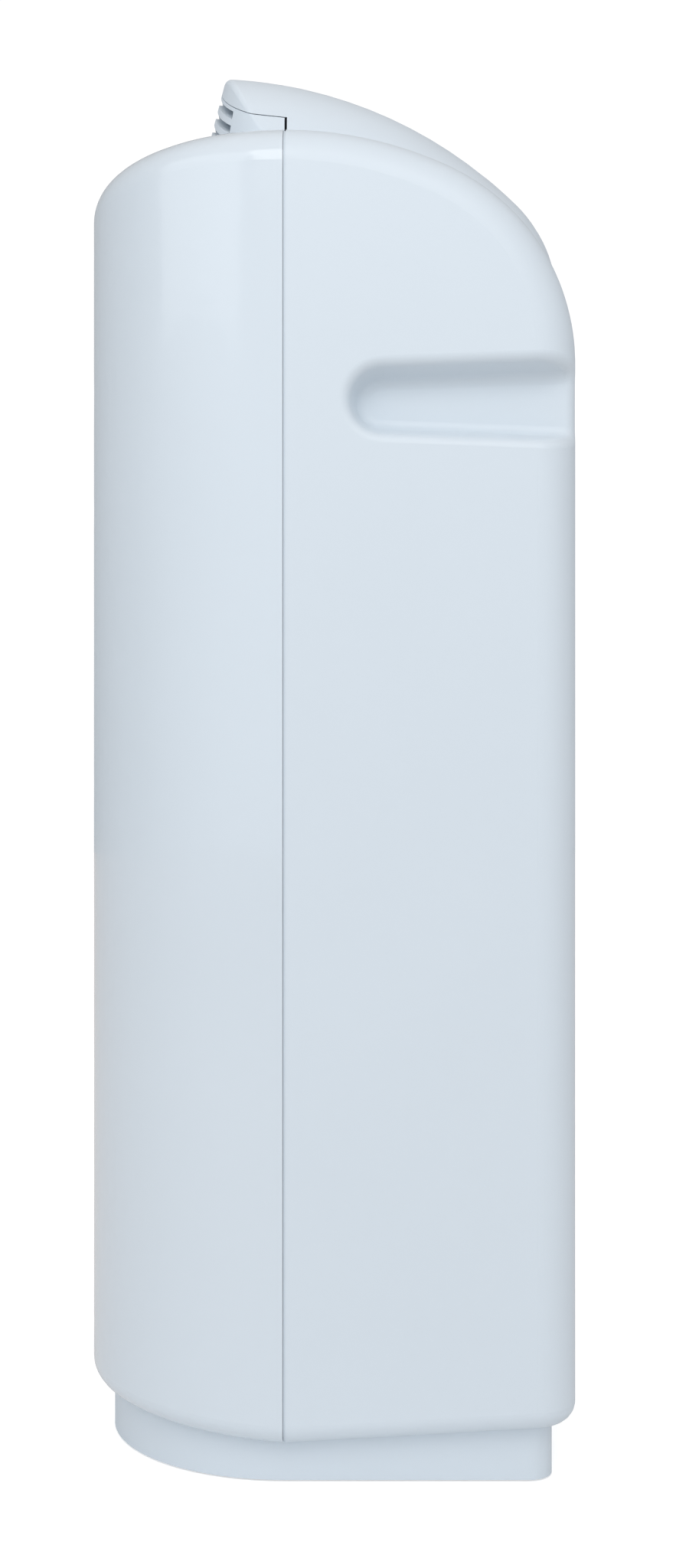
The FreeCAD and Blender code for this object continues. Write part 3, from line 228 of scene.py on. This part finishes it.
def quartz(name, tint):
    """Fused quartz tube, drawn: clear, with faint lines along it."""
    material, tree, where = blank(name)
    drawn = add_node(tree, "ShaderNodeMapping", {"Scale": (1.0, 1.0, 0.02)}, {"Vector": where})
    lines = add_node(tree, "ShaderNodeTexNoise", {"Scale": per_mm(1.5)}, {"Vector": drawn.outputs["Vector"]})
    surface(tree, {"Base Color": linear(tint), "IOR": 1.46, "Transmission Weight": 0.9, "Roughness": 0.05},
            {"Normal": relief(tree, lines.outputs["Fac"], 0.02)})
    return material


def smoked_window(name, colour):
    """Smoked acrylic, polished: almost black, with a hard gloss and the faint ripple of a moulded sheet."""
    material, tree, where = blank(name)
    ripple = add_node(tree, "ShaderNodeTexNoise", {"Scale": per_mm(25)}, {"Vector": where}).outputs["Fac"]
    surface(tree, {"Base Color": linear(colour), "IOR": 1.49, "Coat Weight": 0.4}, {
        "Roughness": spread(tree, ripple, 0.05, 0.1),
        "Normal": relief(tree, ripple, 0.01),
    })
    return material


def lit_resin(name, colour):
    """Clear-blue epoxy of a lit indicator: its glow rises and falls in a faint haze."""
    material, tree, where = blank(name)
    haze = add_node(tree, "ShaderNodeTexNoise", {"Scale": per_mm(2)}, {"Vector": where}).outputs["Fac"]
    own = linear(colour)
    surface(tree, {"Base Color": own, "Emission Color": own, "IOR": 1.5, "Roughness": 0.2},
            {"Emission Strength": spread(tree, haze, 0.8, 1.6)})
    return material


def glazed(name, colour):
    """Steatite ceramic, glazed: milky, with a wet gloss over a slightly uneven body."""
    material, tree, where = blank(name)
    body = add_node(tree, "ShaderNodeTexNoise", {"Scale": per_mm(6), "Detail": 3.0},
                    {"Vector": where}).outputs["Fac"]
    base = linear(colour)
    shade = darker(base, 0.07)
    surface(tree, {"Roughness": 0.2, "IOR": 1.6, "Coat Weight": 0.5}, {
        "Base Color": blend_colours(tree, body, shade, base),
        "Normal": relief(tree, body, 0.03),
    })
    return material


def finishes(colours):
    """Each of the record's material slots with its Blender material."""
    return {
        # glossy ABS off a polished tool: hardly any texture
        "gloss_shell": moulded("abs_gloss_moulded", colours.cover, 0.16, 3.0, 0.002, coat=0.35),
        # spark-textured ABS: a dry satin that blurs every reflection
        "satin_shell": moulded("abs_satin_moulded", colours.housing, 0.42, 0.7, 0.02),
        # ABS with a fine texture, a shade greyer than the shell
        "panel_plastic": moulded("abs_panel_moulded", colours.panel, 0.38, 0.6, 0.015),
        # unpainted polypropylene: waxy, with faint flow clouds
        "frame_plastic": moulded("pp_frame_moulded", "#5B6168", 0.5, 0.9, 0.03, ior=1.49, drift=0.12),
        # ABS keys polished by the tool
        "button_plastic": moulded("abs_key_moulded", colours.keys, 0.3, 0.5, 0.01),
        "window_plastic": smoked_window("acrylic_smoked", "#14181D"),
        "led_resin": lit_resin("epoxy_indicator", "#7FB8FF"),
        # nitrile rubber, pressed: matt black with a powdery bloom
        "black_rubber": moulded("nbr_rubber_pressed", "#1B1C1E", 0.75, 0.8, 0.05, ior=1.52, drift=0.25),
        # glass-filled nylon: near black, with a scratchy sheen
        "black_nylon": moulded("pa66_nylon_moulded", "#17181A", 0.45, 0.4, 0.03, drift=0.2),
        "dark_wheel": moulded("abs_wheel_moulded", "#2B2E33", 0.4, 0.7, 0.02, drift=0.1),
        # zinc-plated steel: a bluish metal, finely mottled
        "zinc_steel": metal("steel_zinc_plated", "#C3C8CE", 0.3, (1, 1, 1), 0.3, 0.01),
        "bearing_steel": metal("steel_bearing_ground", "#B9BCC0", 0.18, (1, 12, 1), 0.25, 0.004),
        "motor_steel": metal("steel_can_drawn", "#A7ABB0", 0.35, (1, 10, 1), 0.4, 0.01),
        # stacked electrical steel: sheet edges 0.5 mm apart along the motor
        "laminated_steel": metal("steel_laminated", "#74777B", 0.45, (20, 1, 20), 0.5, 0.05),
        "board": circuit_board("epoxy_glass_board", "#174A33", "#2D6B48"),
        "component": moulded("epoxy_component_moulded", "#23262A", 0.5, 0.5, 0.02, drift=0.2),
        "quartz": quartz("quartz_tube_drawn", "#F2F5FA"),
        "ceramic": glazed("steatite_glazed", "#EFECE4"),
        "card": card("pulp_board_pressed", "#E9E6DC", 1.2),
        "filter_fleece": fleece("fleece_melt_blown", "#F1F1EC", 0.8),
        # cells 1.6 mm across, as coarse as they need to be to show
        "carbon_foam": foam("foam_carbon", "#3A3C3F", 1.6),
    }


SLOT_OF = {part["node"]: part["material_slot"] for part in frame["record"]["subparts"]}
made_finishes = {}


def finish_of(slot):
    """The material of one slot. All are made the first time one is asked for."""
    if not made_finishes:
        made_finishes.update(finishes(bpy.context.scene.purifier_colours))
    return made_finishes[slot]


def dress(*names):
    for name in names:
        item = NODES[name]
        item.data.materials.clear()
        item.data.materials.append(finish_of(SLOT_OF[name]))


# ---------------------------------------------------------------- settings


class PurifierColours(bpy.types.PropertyGroup):
    """Colours that a user may change."""

    cover: StringProperty(name="Front cover", description="sRGB hex of the glossy cover", default="#CED8E0")
    housing: StringProperty(name="Rear housing", description="sRGB hex of the satin shell", default="#CED8E0")
    panel: StringProperty(name="Control panel", description="sRGB hex of the panel", default="#CDD3DA")
    keys: StringProperty(name="Keys", description="sRGB hex of the keys", default="#E2E6EA")


class PurifierStudio(bpy.types.PropertyGroup):
    """The camera and the lights."""

    eye: FloatVectorProperty(name="Camera place", description="Where the camera stands",
                             default=(0.965, 0.0068, 0.336), subtype="TRANSLATION", unit="LENGTH")
    lens: FloatProperty(name="Lens", description="Focal length in millimetres", default=41.69)
    glow: FloatProperty(name="Room light", description="Strength of the light from all round", default=0.50)
    bright_side: FloatProperty(name="Bright side", description="What the camera's side adds", default=0.80)
    front: FloatProperty(name="Front box", description="Power of the soft box in front", default=5.8,
                         unit="POWER")
    shoulder: FloatProperty(name="Shoulder box", description="Power of the box above", default=3.7,
                            unit="POWER")


# ---------------------------------------------------------------- stage

SENSOR_WIDTH = 36  # millimetres
FLOOR_RADIUS = 8.0  # metres, so that its edge is far from the tower
FLOOR_LIFT = 0.5  # what the camera sees added to the floor's own light
BACKDROP = 1.05  # strength of the white behind everything
BRIGHT_WAY = (0.87, 0.0, 0.5)  # towards the lit side of the room
LOW_TINT = (0.93, 1.0, 1.07, 1)  # the room's light near the horizon
HIGH_TINT = (0.80, 0.73, 0.69, 1)  # and overhead


class PURIFIER_OT_stage(bpy.types.Operator):
    """Make the floor, the lights and the camera"""

    bl_idname = "purifier.stage"
    bl_label = "Stage"

    def execute(self, context):
        """Adds the stage."""
        studio = context.scene.purifier_studio
        camera = bpy.data.cameras.new("camera")
        camera.lens = studio.lens
        camera.sensor_width = SENSOR_WIDTH
        camera.dof.use_dof = False
        eye = bpy.data.objects.new("camera", camera)
        eye.location = studio.eye
        eye.rotation_euler = (math.radians(90), 0, math.radians(90))
        context.scene.collection.objects.link(eye)
        context.scene.camera = eye
        self.add_floor(context)
        self.add_lights(context, studio)
        self.add_room(context, studio)
        context.scene.view_settings.view_transform = "Standard"
        return {"FINISHED"}

    def add_floor(self, context):
        """A wide pale disc that the feet stand on."""
        outline = bmesh.new()
        bmesh.ops.create_circle(outline, cap_ends=True, segments=96, radius=FLOOR_RADIUS)
        mesh = bpy.data.meshes.new("floor")
        outline.to_mesh(mesh)
        outline.free()
        floor = bpy.data.objects.new("floor", mesh)
        floor.location.z = CAD_LOW.z
        context.scene.collection.objects.link(floor)
        # rolled matt paint, lit to white as a studio sweep is: only the contact shadow is left of it
        material, tree, where = blank("paint_matt_rolled")
        roll = add_node(tree, "ShaderNodeTexNoise", {"Scale": per_mm(8)}, {"Vector": where}).outputs["Fac"]
        ray = add_node(tree, "ShaderNodeLightPath").outputs["Is Camera Ray"]
        lift = spread(tree, ray, 0.0, FLOOR_LIFT, 0.0, 1.0)
        surface(tree, {"Base Color": linear("#F6F6F6"), "Roughness": 0.9, "Specular IOR Level": 0.1,
                       "Emission Color": (1, 1, 1, 1)},
                {"Normal": relief(tree, roll, 0.05), "Emission Strength": lift})
        mesh.materials.append(material)

    def add_lights(self, context, studio):
        """Soft boxes, in metres and watts: one before the cover and a nearer one over the flank."""
        boxes = (
            ("front_box", (1.2, -1.45, 1.6), 1.9, 1.2, studio.front, (0.95, 0.98, 1.0)),
            ("shoulder_box", (1.05, 0.05, 1.3), 0.9, 0.6, studio.shoulder, (1.0, 0.99, 0.97)),
        )
        for name, at, wide, high, power, colour in boxes:
            light = bpy.data.lights.new(name, "AREA")
            light.shape = "RECTANGLE"
            light.size = wide
            light.size_y = high
            light.energy = power
            light.color = colour
            item = bpy.data.objects.new(name, light)
            item.location = at
            item.rotation_euler = (MIDDLE - Vector(at)).to_track_quat("-Z", "Y").to_euler()
            context.scene.collection.objects.link(item)

    def add_room(self, context, studio):
        """A pale room, brighter on the camera's side, bluish low down and dimmer and warmer overhead."""
        world = bpy.data.worlds.new("room")
        world.use_nodes = True
        tree = world.node_tree
        tree.nodes.clear()
        way = add_node(tree, "ShaderNodeTexCoord").outputs["Generated"]
        facing = add_node(tree, "ShaderNodeVectorMath", {1: BRIGHT_WAY}, {0: way}, operation="DOT_PRODUCT")
        glow = spread(tree, facing.outputs["Value"], studio.glow, studio.glow + studio.bright_side, 0.0, 1.0)
        height = add_node(tree, "ShaderNodeSeparateXYZ", links={"Vector": way}).outputs["Z"]
        tint = blend_colours(tree, spread(tree, height, 0.0, 1.0, 0.1, 0.9), LOW_TINT, HIGH_TINT)
        ray = add_node(tree, "ShaderNodeLightPath").outputs["Is Camera Ray"]
        soft = add_node(tree, "ShaderNodeBackground", links={"Color": tint, "Strength": glow})
        white = add_node(tree, "ShaderNodeBackground", {"Color": (1, 1, 1, 1), "Strength": BACKDROP})
        mix = add_node(tree, "ShaderNodeMixShader", links={0: ray})
        tree.links.new(soft.outputs["Background"], mix.inputs[1])
        tree.links.new(white.outputs["Background"], mix.inputs[2])
        add_node(tree, "ShaderNodeOutputWorld", links={"Surface": mix.outputs["Shader"]})
        context.scene.world = world


# ---------------------------------------------------------------- pieces


class PURIFIER_OT_shell(bpy.types.Operator):
    """Finish the front cover, rear housing and outlet grille"""

    bl_idname = "purifier.shell"
    bl_label = "Shell"

    def execute(self, context):
        """Dresses the shell."""
        dress("front_cover", "rear_housing", "outlet_grille")
        return {"FINISHED"}


class PURIFIER_OT_base(bpy.types.Operator):
    """Finish the plinth, its feet, its screws and the cord gland"""

    bl_idname = "purifier.base"
    bl_label = "Base"

    def execute(self, context):
        """Dresses the base."""
        dress("base_plinth", "rubber_feet", "base_screws", "cord_gland")
        return {"FINISHED"}


class PURIFIER_OT_controls(bpy.types.Operator):
    """Finish the control panel, its keys, its window and its lights"""

    bl_idname = "purifier.controls"
    bl_label = "Controls"

    def execute(self, context):
        """Dresses the controls."""
        dress("control_panel", "display_window", "indicator_leds", "control_board", "switches")
        dress("power_button", "speed_button", "timer_button", "lamp_button")
        return {"FINISHED"}


INK_THICK = 0.00008  # metres, as a pad prints it
FACE_DEPTH = 0.0001  # metres: corners this near a key's highest one are on its face
BAND_STEPS = 28
RAY_IN, RAY_OUT, RAY_HALF = 1.8, 2.6, 0.17  # millimetres, a ray of the lamp's mark
LEAF = ((0.9, -14), (1.6, -26), (2.3, -20), (2.6, 0), (2.3, 16), (1.6, 14), (0.9, 14))  # millimetres, degrees


def polar(radius, degrees):
    """A point of a mark, in millimetres."""
    turn = math.radians(degrees)
    return radius * math.cos(turn), radius * math.sin(turn)


def arc_band(radius, width, start, end):
    """Part of a ring as quads, from its middle radius and its two ends in degrees."""
    inner = radius - width / 2
    outer = radius + width / 2
    angles = [start + (end - start) * n / BAND_STEPS for n in range(BAND_STEPS + 1)]
    quads = []
    for a, b in zip(angles, angles[1:]):
        quads.append([polar(inner, a), polar(outer, a), polar(outer, b), polar(inner, b)])
    return quads


def bar(x, y, wide, high):
    """An upright bar around a point, as one quad."""
    left, right = x - wide / 2, x + wide / 2
    low, top = y - high / 2, y + high / 2
    return [[(left, low), (right, low), (right, top), (left, top)]]


def ray_bar(degrees):
    """A ray of the lamp's mark, as one quad."""
    along = Vector(polar(1, degrees))
    side = Vector((-along.y, along.x)) * RAY_HALF
    return [[along * RAY_IN - side, along * RAY_OUT - side, along * RAY_OUT + side, along * RAY_IN + side]]


def leaf(degrees):
    """A blade of the fan's mark, as one outline."""
    return [[polar(radius, degrees + turn) for radius, turn in LEAF]]


class PURIFIER_OT_key_marks(bpy.types.Operator):
    """Print a plain mark on each key: on and off, speed, timer and lamp"""

    bl_idname = "purifier.key_marks"
    bl_label = "Key marks"

    def execute(self, context):
        """Makes each mark as thin ink that rides on its key."""
        marks = {
            "power": [arc_band(1.9, 0.45, 125, 415), bar(0, 1.1, 0.45, 2.0)],
            "speed": [arc_band(0.5, 0.5, 0, 360)] + [leaf(a) for a in (90, 210, 330)],
            "timer": [arc_band(2.1, 0.4, 0, 360), bar(0, 0.6, 0.4, 1.4), bar(0.5, 0, 1.2, 0.4)],
            "lamp": [arc_band(0.9, 0.9, 0, 360)] + [ray_bar(a) for a in range(0, 360, 45)],
        }
        for key, outlines in marks.items():
            self.print_mark(context, key, outlines)
        return {"FINISHED"}

    def print_mark(self, context, key, outlines):
        """Lays closed outlines on a key's face, with their tops towards the back of the tower."""
        joint = next(j for j in frame["joints"] if j["name"] == f"{key}_press")
        out = -Vector(joint["axis"]).normalized()
        if out.z < 0:
            out.negate()
        corners = [v.co for v in NODES[f"{key}_button"].data.vertices]
        face = max(c.dot(out) for c in corners)
        rim = [c for c in corners if c.dot(out) > face - FACE_DEPTH]
        centre = sum(rim, Vector()) / len(rim)
        across = Vector((1, 0, 0))
        up = out.cross(across)
        ink = bmesh.new()
        for outline in [o for group in outlines for o in group]:
            base = [centre + (across * x + up * y) / 1000 for x, y in outline]
            low = [ink.verts.new(p) for p in base]
            high = [ink.verts.new(p + out * INK_THICK) for p in base]
            ink.faces.new(high)
            ink.faces.new(list(reversed(low)))
            for n in range(len(base)):
                after = (n + 1) % len(base)
                ink.faces.new((low[n], low[after], high[after], high[n]))
        bmesh.ops.recalc_face_normals(ink, faces=ink.faces)
        mesh = bpy.data.meshes.new(f"{key}_mark")
        ink.to_mesh(mesh)
        ink.free()
        mark = bpy.data.objects.new(f"{key}_mark", mesh)
        context.scene.collection.objects.link(mark)
        mesh.materials.append(finish_of("window_plastic"))
        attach(mark, f"{key}_key")


class PURIFIER_OT_air_path(bpy.types.Operator):
    """Finish the rear door, the filters and the fan"""

    bl_idname = "purifier.air_path"
    bl_label = "Air path"

    def execute(self, context):
        """Dresses everything that the air passes."""
        dress("rear_grille", "filter_frame", "filter_media", "prefilter", "inner_frame")
        dress("fan_scroll", "fan_wheel", "scroll_screws")
        dress("motor_can", "motor_screws", "motor_bearings", "motor_stator", "motor_rotor", "motor_shaft")
        return {"FINISHED"}


class PURIFIER_OT_supply(bpy.types.Operator):
    """Finish the lamp and the power supply"""

    bl_idname = "purifier.supply"
    bl_label = "Lamp and supply"

    def execute(self, context):
        """Dresses the lamp and the supply board."""
        dress("uv_lamp", "lamp_caps", "lamp_holders", "power_board", "board_standoffs", "power_parts")
        return {"FINISHED"}


class PURIFIER_PT_panel(bpy.types.Panel):
    """Lists the purifier's pieces"""

    bl_idname = "PURIFIER_PT_panel"
    bl_label = "Tower air purifier"
    bl_space_type = "VIEW_3D"
    bl_region_type = "UI"
    bl_category = "Purifier"

    def draw(self, context):
        """Draws the settings and a button for each operator."""
        for group in (context.scene.purifier_colours, context.scene.purifier_studio):
            for name in group.__annotations__:
                self.layout.prop(group, name)
        for operator in OPERATORS:
            self.layout.operator(operator.bl_idname)


OPERATORS = (
    PURIFIER_OT_stage,
    PURIFIER_OT_shell,
    PURIFIER_OT_base,
    PURIFIER_OT_controls,
    PURIFIER_OT_key_marks,
    PURIFIER_OT_air_path,
    PURIFIER_OT_supply,
)
CLASSES = (PurifierColours, PurifierStudio, *OPERATORS, PURIFIER_PT_panel)


def register():
    """Registers the classes and their settings."""
    for item in CLASSES:
        bpy.utils.register_class(item)
    bpy.types.Scene.purifier_colours = PointerProperty(type=PurifierColours)
    bpy.types.Scene.purifier_studio = PointerProperty(type=PurifierStudio)


def unregister():
    """Removes the settings and the classes."""
    del bpy.types.Scene.purifier_studio
    del bpy.types.Scene.purifier_colours
    for item in reversed(CLASSES):
        bpy.utils.unregister_class(item)


def main():
    register()
    bpy.ops.purifier.stage()
    bpy.ops.purifier.shell()
    bpy.ops.purifier.base()
    bpy.ops.purifier.controls()
    bpy.ops.purifier.key_marks()
    bpy.ops.purifier.air_path()
    bpy.ops.purifier.supply()


if __name__ == "__main__":
    main()
